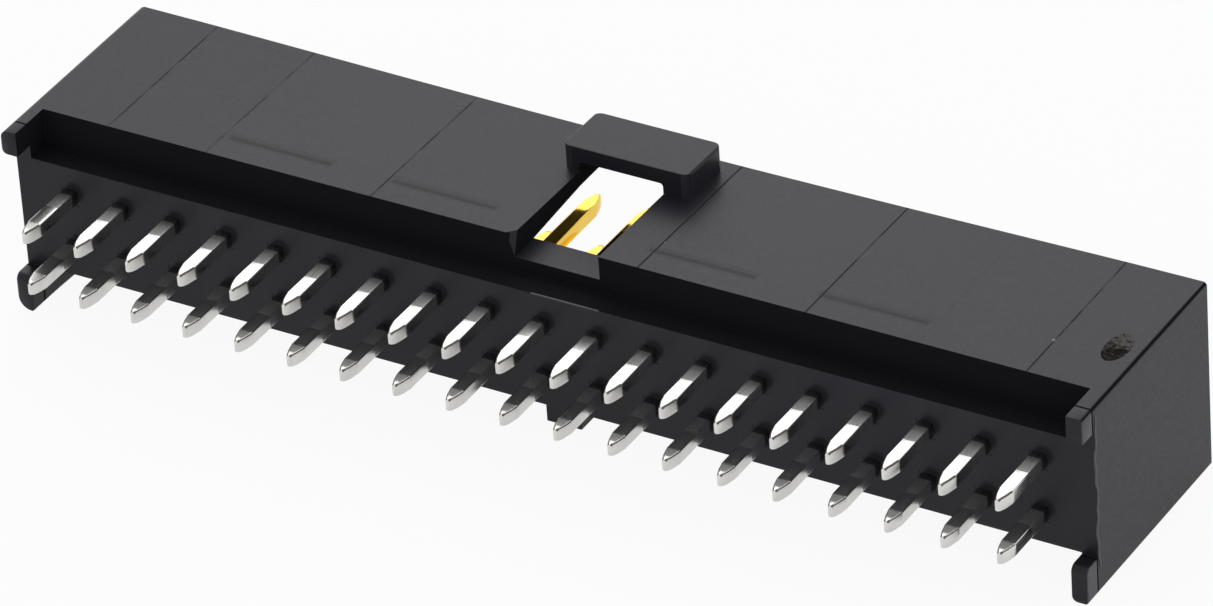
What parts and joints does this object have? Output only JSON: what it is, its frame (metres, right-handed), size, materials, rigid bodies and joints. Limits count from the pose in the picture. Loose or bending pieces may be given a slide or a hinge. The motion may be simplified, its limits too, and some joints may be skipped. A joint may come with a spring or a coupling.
{
  "type": "pin header strip",
  "caption": "Shrouded two-row pin header: square posts in a moulded black housing with a keyed long wall, a bridged key slot, end feet and vents.",
  "frame": {"origin": "centre of the pin grid, on the plane of the board that the four feet touch", "axes": "+X along the rows; +Y the mating direction, away from the board; +Z out of the keyed long wall. The strip lies on its plain long wall."},
  "size_m": [0.0508, 0.0135, 0.0101],
  "materials": {
    "moulding": "fine matt moulded glass-filled thermoplastic",
    "post": "copper alloy, bright tin on the tails and gold on the mating ends"
  },
  "bodies": {
    "root": {"housing": "moulding", "pin_a01": "post", "pin_a02": "post", "pin_a03": "post", "pin_a04": "post", "pin_a05": "post", "pin_a06": "post", "pin_a07": "post", "pin_a08": "post", "pin_a09": "post", "pin_a10": "post", "pin_a11": "post", "pin_a12": "post", "pin_a13": "post", "pin_a14": "post", "pin_a15": "post", "pin_a16": "post", "pin_a17": "post", "pin_a18": "post", "pin_a19": "post", "pin_b01": "post", "pin_b02": "post", "pin_b03": "post", "pin_b04": "post", "pin_b05": "post", "pin_b06": "post", "pin_b07": "post", "pin_b08": "post", "pin_b09": "post", "pin_b10": "post", "pin_b11": "post", "pin_b12": "post", "pin_b13": "post", "pin_b14": "post", "pin_b15": "post", "pin_b16": "post", "pin_b17": "post", "pin_b18": "post", "pin_b19": "post"}
  },
  "joints": []
}
